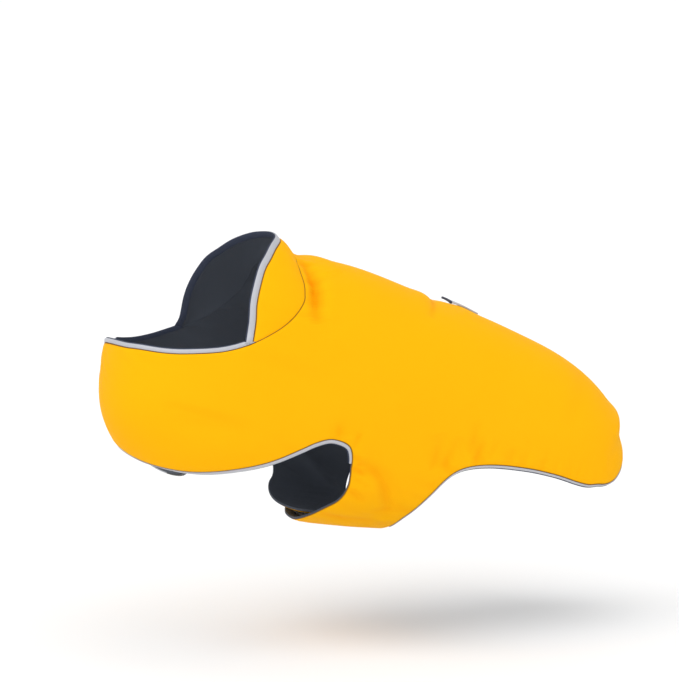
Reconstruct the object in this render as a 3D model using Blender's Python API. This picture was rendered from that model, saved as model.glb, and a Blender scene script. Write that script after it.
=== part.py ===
"""Waterproof pet coat in the hollow shape it has when worn, the wearer sitting.

Tables are in millimetres: X towards the tail, -Y the near side of the photo, Z up,
origin at the withers on the cloth's inner face. The cloth is cut flat as places
(along, round): along = mm down the back from the collar seam, round = mm round the
body from the middle of the back, plus on the near side and minus on the far side.
"""
import math

import bpy
import numpy as np
from mathutils import Vector
from mathutils.geometry import delaunay_2d_cdt

# ---- named sizes, mm ----
WALL = 2.0            # outer cloth and its lining together
SEAM = 0.3            # gap between two sewn pieces
SPACING = 8.6         # between points inside a panel
EDGE_SPACING = 5.0    # between points on a panel's edge
FOLD_SPACING = 5.0    # between points along a fold
HEM_PIPE = 3.0        # piping width on hems and neck edge
COLLAR_PIPE = 4.0     # piping width on the collar
PIPE_THICK = 1.3
PIPE_TURN = 3.0       # how far the collar piping's outer side runs on, down to the neck edge
PIPE_MITRE = 1.5      # how far the neck piping's outer side runs back to meet it
STUB = 1.5            # shortest step left at the end of a stretch of outline
COLLAR_ROWS = 5       # points from collar seam to collar edge
COLLAR_END = (37.5, 119.5)    # along, round of its corner
COLLAR_BULGE = 1.2
LAP_SINK = 5.7        # how far the far flaps lie under the near ones
LAP_START = 100.0     # before the centre line, where the far side starts to sink
LAP_FULL = 58.0       # before the centre line, where it has sunk
TAPE_THICK = 0.7
TAPE_GAP = 0.75       # tape lies on a curved wall, so a little more than SEAM
TAB_THICK = 1.2

# ---- the body under the cloth: a row per section, fanned from neck to rump ----
# spine_x, spine_z, belly_x, belly_z, half_width
SECTIONS = (
    (-46.0, 34.0, -138.0, 10.0, 40.0),
    (-33.0, 9.0, -149.0, -32.0, 46.0),
    (-10.0, 3.2, -154.0, -62.0, 51.0),
    (20.0, -4.6, -151.5, -94.0, 57.5),
    (46.0, -14.8, -129.0, -124.0, 62.0),
    (74.0, -26.0, -88.0, -143.0, 64.0),
    (102.0, -36.5, -40.0, -157.0, 64.0),
    (129.0, -48.5, 8.0, -166.0, 63.5),
    (154.5, -61.2, 50.0, -170.0, 63.0),
    (175.5, -76.0, 82.0, -172.0, 62.5),
    (190.0, -92.0, 100.0, -176.0, 61.5),
    (198.0, -110.0, 108.0, -182.0, 60.0),
    (199.0, -133.0, 112.0, -190.0, 58.0),
    (212.0, -158.0, 116.0, -200.0, 56.0),
)
COLLAR_SECTION = 1    # the section where `along` is 0
SQUARE = 0.05         # how square a section's shoulders are
HEAVY = 0.06          # how much wider a section is low down

# ---- near half of the outline ----
# neck seam, middle of the back to the collar's corner, with the collar's free edge above it
# along, round, rim_x, rim_y, rim_z
NECK = (
    (-3.5, 0.0, -42.0, 0.0, 19.0),
    (-2.5, 14.0, -44.0, -12.0, 18.5),
    (1.5, 25.0, -47.5, -20.5, 17.0),
    (9.5, 39.0, -55.0, -29.5, 13.0),
    (18.5, 52.0, -61.5, -36.0, 7.5),
    (25.0, 62.0, -67.0, -40.5, 2.5),
    (30.0, 70.0, -70.5, -43.5, -3.0),
    (34.0, 80.0, -74.0, -46.5, -10.0),
    (37.0, 90.5, -77.0, -49.0, -18.5),
    (38.5, 101.0, -78.5, -51.0, -27.0),
    (38.5, 109.5, -80.0, -52.0, -34.0),
    (38.0, 117.0, -81.5, -53.5, -38.5),
    (37.5, 120.0, -82.0, -54.0, -40.0),
)
# along, round: free neck edge from the collar's corner towards the chest
NECK_FRONT = ((36.0, 126.5), (32.0, 135.5), (22.0, 147.0), (12.0, 160.0), (9.0, 173.0))
# along, past the chest's centre line: the near flap on top, the far flap under it
CHEST_TOP = ((8.0, 0.0), (9.0, 15.0), (12.5, 29.0), (19.0, 38.0), (30.0, 45.0), (44.0, 47.0),
             (54.0, 39.0), (61.5, 27.0), (66.5, 13.0), (69.0, 0.0))
CHEST_UNDER = ((8.0, 0.0), (12.0, 22.0), (20.0, 28.0), (38.0, 32.0), (58.0, 33.0), (74.0, 33.0),
               (83.0, 31.0), (88.0, 26.0), (89.0, 19.0), (86.0, 9.0), (78.5, -1.0))
# along, round: chest hem from the centre line to the armhole, round it, down the belly band
CHEST_HEM = ((72.0, 256.0), (78.0, 243.0), (84.5, 231.0), (92.5, 214.0), (100.0, 195.5),
             (104.5, 177.0), (106.5, 169.0), (110.0, 162.5), (115.0, 160.5), (120.0, 161.0),
             (125.0, 165.5))
BAND_FRONT = ((130.0, 173.0), (138.5, 187.0), (142.0, 199.0), (142.0, 208.0), (143.5, 226.0),
              (145.5, 240.0))
# along, past the belly's centre line: the near tongue on top, the far tongue under it
BELLY_TOP = ((148.0, 0.0), (150.0, 20.0), (153.0, 36.0), (158.5, 45.5), (168.0, 49.0), (178.0, 45.5),
             (183.5, 36.0), (185.5, 20.0), (186.0, 0.0))
BELLY_UNDER = ((148.5, 0.0), (151.0, 12.0), (157.0, 21.0), (167.0, 24.0), (177.0, 21.0),
               (183.5, 12.0), (185.5, 0.0))
BAND_REAR = ((185.0, 223.0), (182.5, 212.0), (177.5, 194.0), (175.5, 180.0), (174.0, 164.0),
             (173.5, 151.0), (175.5, 142.5))
REAR_HEM = ((180.0, 136.5), (190.0, 129.5), (211.0, 120.5), (228.0, 114.0), (248.0, 105.0),
            (260.0, 96.5), (268.0, 87.0), (274.0, 79.5), (278.5, 72.0), (281.5, 64.0), (282.5, 55.0),
            (282.0, 30.0), (282.0, 0.0))

# ---- folds, near half; the far half repeats them shifted by FAR_SHIFT ----
# start_along, start_round, middle_along, middle_round, end_along, end_round, width, height
FOLDS = (
    (7.0, 24.0, 24.5, 51.5, 45.0, 80.0, 5.2, -3.6),      # valley behind the collar
    (3.5, 21.0, 17.5, 46.0, 32.0, 66.0, 2.8, 1.2),       # ridge between it and the seam
    (88.0, 0.0, 97.5, 19.0, 97.0, 44.0, 5.0, -1.8),      # crease across the back
    (81.0, 0.0, 90.0, 16.0, 88.0, 40.0, 5.0, 0.9),       # its raised front side
    (129.5, 166.5, 156.0, 168.0, 172.0, 197.0, 5.5, -2.4),  # crease over the belly band
    (139.0, 181.0, 150.0, 182.0, 160.0, 200.0, 6.0, 1.0),   # the band's swell before it
    (151.0, 127.0, 162.0, 136.0, 171.5, 144.5, 4.0, -1.5),  # puckers above the rear hem
    (161.0, 124.0, 170.0, 131.0, 176.0, 138.5, 3.5, -1.2),
    (171.0, 118.0, 178.0, 124.0, 184.0, 131.0, 3.5, -0.9),
    (266.0, 26.0, 261.0, 54.0, 262.0, 88.0, 8.0, -5.5),     # dent round the rump
    (252.0, 8.0, 256.0, 36.0, 255.0, 60.0, 4.5, 2.2),      # swell before it
    (17.0, 0.0, 19.0, 16.0, 30.0, 34.0, 8.5, 2.0),          # swell over the withers
    (28.0, 30.0, 52.0, 62.0, 62.0, 96.0, 9.0, -1.0),        # soft drag off the shoulder
    (56.0, 206.0, 68.0, 192.0, 84.0, 182.0, 8.0, -0.9),     # soft drag across the chest
)
FAR_SHIFT = 3.0

# ---- small pieces ----
# from_along, to_along, from_past, to_past the centre line, slant (along) over its length
CHEST_LOOP = (34.0, 57.0, -16.0, 25.0, 0.0)
CHEST_HOOK = (34.0, 67.0, -8.0, 28.0, 8.0)
BELLY_LOOP = (153.0, 180.0, -14.0, 36.0, 0.0)
BELLY_HOOK = (155.0, 178.0, -12.0, 15.0, 0.0)
# tab on the middle of the back: along, half_width, lift of its middle, twist of the lift
TAB = (
    (118.0, 5.2, 3.4, 1.8),
    (122.0, 5.6, 3.0, 1.6),
    (127.0, 5.8, 2.3, 1.2),
    (132.0, 5.8, 1.6, 0.8),
    (137.0, 5.4, 1.0, 0.4),
    (142.0, 4.4, 0.6, 0.1),
    (146.0, 3.0, 0.4, 0.0),
)
TAB_EDGE = 1.5

# ---- where the pipings run ----
# along, round
CORNER = (36.0, 126.5)        # of collar piping and neck piping
ARMHOLE_END = (128.5, 171.0)
BAND_END = (182.0, 210.0)     # under the belly lap
# along, past the chest's centre line, on the far flap
FAR_NECK_END = (9.0, -16.0)
FAR_HEM_END = (66.0, 33.0)
# share of the length, width
EVEN = ((0.0, HEM_PIPE), (1.0, HEM_PIPE))
TAPERED = ((0.0, 0.8), (0.07, 1.6), (0.14, HEM_PIPE), (0.86, HEM_PIPE), (0.93, 1.6), (1.0, 0.8))

COLOURS = {"yellow": (0.99, 0.50, 0.012, 1.0), "grey": (0.46, 0.47, 0.49, 1.0),
           "charcoal": (0.035, 0.042, 0.05, 1.0)}


def spline(places, rows):
    """Natural cubic through rows; returns a function of place."""
    x, y = np.asarray(places, float), np.asarray(rows, float)
    n, h = len(x), np.diff(places)
    a, r = np.zeros((n, n)), np.zeros((n,) + y.shape[1:])
    a[0, 0] = a[-1, -1] = 1.0
    for i in range(1, n - 1):
        a[i, i - 1:i + 2] = h[i - 1], 2 * (h[i - 1] + h[i]), h[i]
        r[i] = 6 * ((y[i + 1] - y[i]) / h[i] - (y[i] - y[i - 1]) / h[i - 1])
    m = np.linalg.solve(a, r)

    def value(t):
        t = np.asarray(t, float)
        i = np.clip(np.searchsorted(x, t) - 1, 0, n - 2)
        g, u, v = h[i][..., None], (t - x[i])[..., None], (x[i + 1] - t)[..., None]
        return ((m[i] * v ** 3 + m[i + 1] * u ** 3) / (6 * g) + (y[i] / g - m[i] * g / 6) * v
                + (y[i + 1] / g - m[i + 1] * g / 6) * u)
    return value


def smoothstep(t):
    t = np.clip(t, 0.0, 1.0)
    return t * t * (3 - 2 * t)


def unit(v):
    return v / np.maximum(np.linalg.norm(v, axis=-1, keepdims=True), 1e-9)


def make_sections():
    rows = np.array(SECTIONS)
    steps = np.linalg.norm(np.diff(rows[:, :2], axis=0), axis=1)
    along = np.concatenate([[0.0], np.cumsum(steps)])
    return spline(along - along[COLLAR_SECTION], rows)


SECTION_AT = make_sections()


def ring(along, angle):
    """Point of the section at `along`; angle 0 is the spine, pi the belly, near side between."""
    r = SECTION_AT(along)
    mid, half = (r[..., 0:2] + r[..., 2:4]) / 2, (r[..., 0:2] - r[..., 2:4]) / 2
    up = np.cos(angle)
    out = (np.sin(angle) + SQUARE * np.sin(3 * angle)) / (1 - SQUARE) * r[..., 4] * (1 - HEAVY * up)
    return np.stack([mid[..., 0] + half[..., 0] * up, -out, mid[..., 1] + half[..., 1] * up], -1)


def girth_table(along, top, count=121):
    angle = np.linspace(0, top, count)
    p = ring(np.repeat(along[:, None], count, 1), np.repeat(angle[None], len(along), 0))
    steps = np.linalg.norm(np.diff(p, axis=1), axis=2)
    return angle, np.concatenate([np.zeros((len(along), 1)), np.cumsum(steps, 1)], 1)


def half_girth(along):
    along = np.atleast_1d(np.asarray(along, float))
    return girth_table(along, math.pi)[1][:, -1]


def body(along, round_):
    """Outer face of the cloth before folds, at flat places (along, round)."""
    along, round_ = np.asarray(along, float), np.asarray(round_, float)
    a, d = along.ravel(), round_.ravel()
    angle, table = girth_table(a, 1.7 * math.pi)
    i = np.clip((table < np.abs(d)[:, None]).sum(1) - 1, 0, len(angle) - 2)
    k = np.arange(len(a))
    part = (np.abs(d) - table[k, i]) / (table[k, i + 1] - table[k, i])
    p = ring(a, angle[i] + part * (angle[1] - angle[0]))
    p[:, 1] *= np.where(d < 0, -1.0, 1.0)
    return p.reshape(along.shape + (3,))


def body_normal(along, round_):
    e = 1.0
    da = body(along + e, round_) - body(along - e, round_)
    dd = body(along, round_ + e) - body(along, round_ - e)
    return unit(np.cross(dd, da))


def fold_lines():
    """Every fold as (points, side, width, height)."""
    out = []
    for row in FOLDS:
        t = np.linspace(0, 1, 25)[:, None]
        a, b, c = (np.array(row[k:k + 2]) for k in (0, 2, 4))
        line = (1 - t) ** 2 * a + 2 * t * (1 - t) * b + t ** 2 * c
        for side in (1, -1):
            shift = 0.0 if side > 0 or row[1] == 0 else FAR_SHIFT
            out.append((line * (1, side) + (shift, 0), row[1] == 0, row[6], row[7]))
    return out


FOLD_LINES = fold_lines()


def relief(along, round_):
    """Height of folds above the body, less the sinking of the far flaps under the near ones."""
    p = np.stack([along, round_], -1)
    height = np.zeros(along.shape)
    for line, crosses_back, width, tall in FOLD_LINES:
        gap = np.linalg.norm(p[..., None, :] - line, axis=-1)
        place = gap.argmin(-1) / (len(line) - 1)
        fade = np.sin(math.pi * np.clip(place, 0, 1)) ** 0.6
        if crosses_back:
            fade = np.cos(math.pi / 2 * np.clip(place, 0, 1)) ** 0.6
            fade = fade * (1 + np.sign(round_ * line[-1, 1])) / 2
        height += tall * fade * np.exp(-(gap.min(-1) / width) ** 2)
    before = half_girth(along.ravel()).reshape(along.shape) + round_
    sunk = LAP_SINK * smoothstep((LAP_START - before) / (LAP_START - LAP_FULL))
    return height - np.where(round_ < 0, sunk, 0.0)


def cloth(along, round_, lift=0.0):
    """Outer face of the worn cloth moved out by lift, and its normal."""
    along, round_ = np.asarray(along, float), np.asarray(round_, float)
    n = body_normal(along, round_)
    return body(along, round_) + n * (relief(along, round_) + lift)[..., None], n


def far(place):
    return place[0], -place[1]


def lap_rows(rows, side):
    r = np.array(rows)
    return np.stack([r[:, 0], side * (half_girth(r[:, 0]) + r[:, 1])], 1)


def outline():
    """Closed outline of the panel, smooth through the tables, evenly spaced on the worn cloth."""
    flip = np.array([1.0, -1.0])
    neck, front = np.array(NECK)[:, :2], np.array(NECK_FRONT)
    hem, band = np.array(CHEST_HEM), np.array(BAND_FRONT)
    rear_band, rear = np.array(BAND_REAR), np.array(REAR_HEM)
    near_laps = lap_rows(CHEST_TOP, 1), lap_rows(BELLY_TOP, 1)
    far_laps = lap_rows(CHEST_UNDER, -1) * flip, lap_rows(BELLY_UNDER, -1) * flip
    near, other = (np.concatenate([neck, front, chest, hem, band, belly, rear_band, rear])
                   for chest, belly in (near_laps, far_laps))
    p = np.concatenate([near, (other * flip)[::-1][1:-1]])
    dense = []
    for k in range(len(p)):
        q = [p[(k + j) % len(p)] for j in (-1, 0, 1, 2)]
        s = np.sqrt([max(np.linalg.norm(q[j + 1] - q[j]), 1e-6) for j in range(3)])
        t0, t1, t2, t3 = 0.0, s[0], s[0] + s[1], s.sum()
        t = np.linspace(t1, t2, 13)[:-1, None]
        a1 = (t1 - t) / (t1 - t0) * q[0] + (t - t0) / (t1 - t0) * q[1]
        a2 = (t2 - t) / (t2 - t1) * q[1] + (t - t1) / (t2 - t1) * q[2]
        a3 = (t3 - t) / (t3 - t2) * q[2] + (t - t2) / (t3 - t2) * q[3]
        b1 = (t2 - t) / (t2 - t0) * a1 + (t - t0) / (t2 - t0) * a2
        b2 = (t3 - t) / (t3 - t1) * a2 + (t - t1) / (t3 - t1) * a3
        dense.append((t2 - t) / (t2 - t1) * b1 + (t - t1) / (t2 - t1) * b2)
    dense = np.concatenate(dense)
    return respace(dense, EDGE_SPACING, closed=True)


def respace(flat, step, closed=False):
    """The same flat line with points an even worn distance apart."""
    line = np.concatenate([flat, flat[:1]]) if closed else flat
    p, _ = cloth(line[:, 0], line[:, 1])
    run = np.concatenate([[0.0], np.cumsum(np.linalg.norm(np.diff(p, axis=0), axis=1))])
    count = max(2, int(round(run[-1] / step)))
    at = np.linspace(0, run[-1], count + 1)[:count if closed else None]
    return np.stack([np.interp(at, run, line[:, 0]), np.interp(at, run, line[:, 1])], 1)


def fill(edge):
    """Points inside the outline: along the folds, then an even grid clear of them and of the edge."""
    inside = []
    for line, _, width, _ in FOLD_LINES:
        across = unit(np.gradient(line, axis=0))[:, ::-1] * (1, -1)
        for off in (0.0, -width, width):
            q = line + across * off
            run = np.concatenate([[0.0], np.cumsum(np.linalg.norm(np.diff(q, axis=0), axis=1))])
            at = np.arange(0.0, run[-1], FOLD_SPACING)
            for a, d in zip(np.interp(at, run, q[:, 0]), np.interp(at, run, q[:, 1])):
                if all((a - u) ** 2 + (d - v) ** 2 > 3.2 ** 2 for u, v in inside):
                    inside.append((a, d))
    fold_points = np.array(inside)
    rows = []
    low, high = edge.min(0), edge.max(0)
    for j, a in enumerate(np.arange(low[0] + 2, high[0], SPACING * 0.866)):
        start = low[1] + (SPACING / 2 if j % 2 else 0.0)
        rows += [(a, d) for d in np.arange(start, high[1], SPACING)]
    grid = np.array(rows)
    gap = np.linalg.norm(grid[:, None] - fold_points[None], axis=2).min(1)
    points = np.concatenate([fold_points, grid[gap > 0.62 * SPACING]])
    points = points[within(points, edge)]
    gap = np.linalg.norm(points[:, None] - edge[None], axis=2).min(1)
    return points[gap > 0.5 * SPACING]


def within(points, edge):
    x, y = points[:, 0], points[:, 1]
    inside = np.zeros(len(points), bool)
    for (x0, y0), (x1, y1) in zip(edge, np.roll(edge, -1, 0)):
        cross = (y0 > y) != (y1 > y)
        inside ^= cross & (x < (x1 - x0) * (y - y0) / (y1 - y0 + 1e-12) + x0)
    return inside


def material(name):
    m = bpy.data.materials.new(name)
    m.use_nodes = True
    shader = m.node_tree.nodes["Principled BSDF"]
    colour = COLOURS[name.split("_")[-1]]
    shader.inputs["Base Color"].default_value = colour
    shader.inputs["Roughness"].default_value = 0.6
    m.diffuse_color = colour
    return m


def add_solid(name, colour, points, faces):
    """One closed body from points in mm, faces turned outward."""
    mesh = bpy.data.meshes.new(name)
    mesh.from_pydata([tuple(float(c) * 0.001 for c in p) for p in points], [], faces)
    mesh.validate()
    mesh.update()
    v = np.array([p.co for p in mesh.vertices])
    volume = sum(np.dot(v[f.vertices[0]], np.cross(v[f.vertices[k]], v[f.vertices[k + 1]]))
                 for f in mesh.polygons for k in range(1, len(f.vertices) - 1))
    if volume < 0:
        mesh.flip_normals()
    item = bpy.data.objects.new(name, mesh)
    bpy.context.scene.collection.objects.link(item)
    mesh.materials.append(material(name + "_" + colour))
    return item


def add_sheet(name, colour, outer, inner, faces, loop):
    """A wall between two like faces, closed round its edge."""
    n = len(outer)
    sides = [(a, a + n, b + n, b) for a, b in zip(loop, list(loop[1:]) + [loop[0]])]
    both = [tuple(f) for f in faces] + [tuple(k + n for k in f[::-1]) for f in faces]
    return add_solid(name, colour, np.concatenate([outer, inner]), both + consistent(faces, sides))


def consistent(faces, sides):
    """Edge walls wound to match the outer face."""
    edges = {(f[k], f[(k + 1) % len(f)]) for f in faces for k in range(len(f))}
    return [s if (s[0], s[3]) in edges else s[::-1] for s in sides]


def grid_faces(rows, cols):
    faces = []
    for i in range(rows - 1):
        for j in range(cols - 1):
            k = i * cols + j
            faces += [(k, k + 1, k + cols + 1), (k, k + cols + 1, k + cols)]
    last = (rows - 1) * cols
    loop = list(range(cols)) + [i * cols + cols - 1 for i in range(1, rows)]
    loop += [last + j for j in range(cols - 2, -1, -1)] + [i * cols for i in range(rows - 2, 0, -1)]
    return faces, loop


def add_strip(name, colour, edge, normal, side, width, thick=PIPE_THICK, mitre=(0.0, 0.0)):
    """A flat strip sewn beyond a free edge: edge points at the wall's middle, width per point.
    mitre is how far its outer side runs on past the inner one, at its start and its end."""
    along = unit(np.gradient(edge, axis=0))
    away = unit(np.cross(along, normal)) * side
    n = unit(np.cross(away, along)) * side * thick / 2
    inner = edge + away * SEAM
    outer = inner + away * np.asarray(width, float)[:, None]
    outer[0] -= along[0] * mitre[0]
    outer[-1] += along[-1] * mitre[1]
    corners = [inner + n, outer + n, outer - n, inner - n]
    points = np.stack(corners, 1).reshape(-1, 3)
    faces = [(0, 1, 2, 3), tuple(len(points) - k for k in (1, 2, 3, 4))]
    for i in range(len(edge) - 1):
        for k in range(4):
            a, b = 4 * i + k, 4 * i + (k + 1) % 4
            faces.append((b, a, a + 4, b + 4))
    return add_solid(name, colour, points, faces)


def nearest_on(edge, place):
    """The side of the closed outline that comes nearest to a place, and the spot on it."""
    ahead = np.roll(edge, -1, 0) - edge
    share = np.clip(((place - edge) * ahead).sum(1) / (ahead ** 2).sum(1), 0, 1)
    spot = edge + ahead * share[:, None]
    side = int(np.linalg.norm(spot - place, axis=1).argmin())
    return side, spot[side]


def stretch(edge, start, end):
    """The part of the closed outline between the spots nearest to start and end."""
    (a, first), (b, last) = nearest_on(edge, start), nearest_on(edge, end)
    between = edge[(a + 1 + np.arange((b - a) % len(edge))) % len(edge)]
    clear = [min(np.linalg.norm(q - first), np.linalg.norm(q - last)) > STUB for q in between]
    return np.concatenate([[first], between[clear], [last]])


def add_piping(name, edge, start, end, widths, mitre=(0.0, 0.0)):
    """Piping along an outline stretch; widths are (share of the length, width) rows."""
    flat = stretch(edge, start, end)
    p, n = cloth(flat[:, 0], flat[:, 1], -WALL / 2)
    share, size = np.array(widths).T
    width = np.interp(np.linspace(0, 1, len(p)), share, size)
    return add_strip(name, "grey", p, n, 1.0, width, mitre=mitre)


def add_tape(name, colour, box, side, lift, step=5.5):
    """A patch over a lap, made from the cloth's own points moved out or in."""
    low, high, start, end, slant = box
    rows, cols = int((high - low) / step) + 2, int((end - start) / step) + 2
    along = np.linspace(low, high, rows)[:, None] + np.linspace(0, slant, cols)
    past = np.repeat(np.linspace(start, end, cols)[None], rows, 0)
    round_ = side * (half_girth(along.ravel()).reshape(along.shape) + past)
    top, _ = cloth(along, round_, lift + TAPE_THICK)
    low_face, _ = cloth(along, round_, lift)
    faces, loop = grid_faces(rows, cols)
    return add_sheet(name, colour, top.reshape(-1, 3), low_face.reshape(-1, 3), faces, loop)


def collar_frame(edge):
    """Seam line and free edge of the collar, far corner to near corner, on the panel's own edge points."""
    rows = np.array(NECK)
    both = np.concatenate([(rows * (1, -1, 1, -1, 1))[:0:-1], rows])
    rim = spline(both[:, 1], both[:, 2:])
    flat = stretch(edge, far(COLLAR_END), COLLAR_END)
    seam, n = cloth(flat[:, 0], flat[:, 1])
    ahead = unit(np.cross(np.gradient(seam, axis=0), n))
    if np.dot(ahead[len(ahead) // 2], (-1, 0, 0)) < 0:
        ahead = -ahead
    return seam + ahead * SEAM, rim(flat[:, 1]), n


def add_collar(edge):
    seam, rim, n = collar_frame(edge)
    share = np.linspace(0, 1, COLLAR_ROWS)
    outer = seam[:, None] + (rim - seam)[:, None] * share[:, None]
    outward = unit(np.cross(np.gradient(seam, axis=0), rim - seam))
    if np.dot(outward[-1], (0, -1, 0)) < 0:
        outward = -outward
    outward = np.repeat(outward[:, None], COLLAR_ROWS, 1)
    tall = np.linalg.norm(rim - seam, axis=1)[:, None, None]
    bulge = 4 * (share * (1 - share))[None, :, None] * COLLAR_BULGE * smoothstep(tall / 20.0)
    outer = outer + outward * bulge
    blend = smoothstep(share * 1.5)[None, :, None]
    normal = unit(outward * blend + n[:, None] * (1 - blend))
    faces, loop = grid_faces(len(seam), COLLAR_ROWS)
    inner = outer - normal * WALL
    add_sheet("collar", "yellow", outer.reshape(-1, 3), inner.reshape(-1, 3), faces, loop)
    rim = (outer - normal * WALL / 2)[:, -1]
    away = unit(np.cross(unit(np.gradient(rim, axis=0)), normal[:, -1]))
    middle = len(rim) // 2
    side = 1.0 if np.dot(away[middle], rim[middle] - outer[middle, 0]) > 0 else -1.0
    add_strip("collar_piping", "grey", rim, normal[:, -1], side, np.full(len(rim), COLLAR_PIPE),
              mitre=(PIPE_TURN, PIPE_TURN))


def add_tab():
    rows = np.array(TAB)
    across = np.linspace(-1, 1, 5)
    along = np.repeat(rows[:, :1], 5, 1)
    round_ = rows[:, 1:2] * across
    lift = rows[:, 2:3] - rows[:, 3:4] * across
    low, _ = cloth(along, round_, lift)
    high, _ = cloth(along, round_, lift + TAB_THICK)
    faces, loop = grid_faces(len(rows), 5)
    add_sheet("back_tab", "grey", high.reshape(-1, 3), low.reshape(-1, 3), faces, loop)
    edge = (low[0] + high[0]) / 2
    normal = unit(high[0] - low[0])
    forward = unit(low[0, 2] - low[1, 2])
    side = 1.0 if np.dot(np.cross(edge[-1] - edge[0], normal[2]), forward) > 0 else -1.0
    add_strip("tab_edge", "charcoal", edge, normal, side, np.full(5, TAB_EDGE), TAB_THICK)


def add_body():
    edge = outline()
    points = np.concatenate([edge, fill(edge)])
    ring_of = [(k, (k + 1) % len(edge)) for k in range(len(edge))]
    flat, _, tris, *_ = delaunay_2d_cdt([Vector(p) for p in points], ring_of, [], 1, 1e-4)
    flat = np.array([tuple(p) for p in flat])
    if len(flat) != len(points):
        raise ValueError("the outline crosses itself")
    outer, n = cloth(flat[:, 0], flat[:, 1])
    add_sheet("body_panel", "yellow", outer, outer - n * WALL, [tuple(t) for t in tris],
              list(range(len(edge))))
    return edge


def main():
    for item in list(bpy.data.objects):
        bpy.data.objects.remove(item, do_unlink=True)
    edge = add_body()
    add_collar(edge)
    neck_end, hem_end = lap_rows([FAR_NECK_END, FAR_HEM_END], -1)
    add_piping("front_piping_near", edge, CORNER, ARMHOLE_END, EVEN, (PIPE_MITRE, 0.0))
    add_piping("neck_piping_far", edge, neck_end, far(CORNER), EVEN, (0.0, PIPE_MITRE))
    add_piping("hem_piping_far", edge, far(ARMHOLE_END), hem_end, EVEN)
    add_piping("rear_piping", edge, BAND_END, far(BAND_END), TAPERED)
    under = -WALL - TAPE_GAP - TAPE_THICK
    add_tape("chest_loop", "charcoal", CHEST_LOOP, 1, under)
    add_tape("chest_hook", "charcoal", CHEST_HOOK, -1, TAPE_GAP)
    add_tape("belly_loop", "charcoal", BELLY_LOOP, 1, under)
    add_tape("belly_hook", "charcoal", BELLY_HOOK, -1, TAPE_GAP)
    add_tab()


if __name__ == "__main__":
    main()
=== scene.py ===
"""Looks of the waterproof pet coat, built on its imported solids.

Tables are in millimetres, as in the solids' own source: X towards the tail, -Y the near
side of the photo, Z up, origin at the withers. Cloth is cut flat as places (along, round):
along = mm down the back from the collar seam, round = mm round the body from the middle of
the back, plus on the near side and minus on the far side.
"""
import math

import bpy
import numpy as np
from mathutils import Matrix, Vector
from mathutils.geometry import delaunay_2d_cdt


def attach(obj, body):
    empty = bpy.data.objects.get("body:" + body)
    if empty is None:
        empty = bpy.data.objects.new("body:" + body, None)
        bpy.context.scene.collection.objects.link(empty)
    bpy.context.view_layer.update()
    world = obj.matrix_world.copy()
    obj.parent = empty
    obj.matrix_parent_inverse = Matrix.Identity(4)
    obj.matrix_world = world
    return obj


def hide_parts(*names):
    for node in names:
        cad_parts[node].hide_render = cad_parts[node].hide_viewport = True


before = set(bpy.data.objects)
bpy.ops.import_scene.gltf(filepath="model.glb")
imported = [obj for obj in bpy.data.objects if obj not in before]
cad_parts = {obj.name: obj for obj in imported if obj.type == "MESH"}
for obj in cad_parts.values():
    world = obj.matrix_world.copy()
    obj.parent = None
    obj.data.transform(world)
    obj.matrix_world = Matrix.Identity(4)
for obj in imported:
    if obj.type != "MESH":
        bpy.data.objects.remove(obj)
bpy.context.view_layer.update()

# ---- named sizes, mm ----
WALL = 2.0            # outer cloth and its lining together
SPACING = 2.1         # between points inside the panel
EDGE_SPACING = 2.0    # between points on the panel's edge
EDGE_LINES = (0.8, 2.0)       # how far inside the edge two more lines of points run
EDGE_CLEAR = 3.4      # between the edge and the even grid inside it
LINE_KEEP = 0.85      # share of its distance that a line's point has to keep from the edge
ROW_STEP = 0.866      # height of an even triangle, for the grid's rows
CHUNK = 4000          # points measured at a time
CURVE_STEPS = 12      # between two places of the outline's tables
HEM_PIPE = 2.2        # piping width that shows on the chest hem, with its binding beyond
NECK_PIPE = 2.6       # the same on the neck edge
COLLAR_PIPE = 4.0     # piping width on the collar
PIPE_TURN = 3.0       # how far the collar piping's outer side runs on, down to the neck edge
PIPE_HEEL = 0.45      # share of that which its sewn side runs on
STUB = 0.7            # shortest step left at the end of a stretch of outline
COLLAR_ROWS = 17      # points from collar seam to collar edge
COLLAR_END = (37.5, 119.5)    # along, round of its corner
COLLAR_BULGE = 1.2
COLLAR_LOW = 20.0     # height below which the bulge is less
COLLAR_STAND = 1.5    # how soon above the seam the collar's wall stands square to its own face
LAP_SINK = 5.7        # how far the far flaps lie under the near ones at most
LAP_START = 100.0     # before the centre line, where the far side starts to sink
LAP_FULL = 58.0       # before the centre line, where it has sunk
PATCH_THICK = 0.7     # hook and loop patches
PATCH_GAP = 0.75      # between a patch and its cloth
PATCH_STEP = 1.5      # between a patch's points at most
TAB_THICK = 0.9
TAB_EDGE = 1.8        # width and thickness of the tab's dark front edge
TAB_EDGE_THICK = 1.5
TAB_ROUND = 0.2       # how far that edge's corners are cut back
TAB_LIP_START = 0.1   # gap between tab and edge
TAB_POINTS = (25, 11)         # along and across the tab
FLAP_SHADE_START = 4.0      # before the centre line, where the far flap's hem takes painted shade in the lining's dark cloth
FLAP_SHADE_WIDTH = 9.0      # how wide that painted shade is
FLAP_SHADE_ALONG = (55.0, 110.0)    # from, to along: the chest hem, not the neck or the belly
ROLL_DEPTH = 0.7      # how far the cloth turns down into a piped seam
ROLL_WIDTH = 0.9      # how far from the seam that starts
RIPPLE = 0.2          # height of the small waves that a sewn edge gathers
RIPPLE_REACH = 4.0    # how far from the edge they are highest
RIPPLE_CLEAR = 6.0    # from the collar's other edge, where they have faded out
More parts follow.
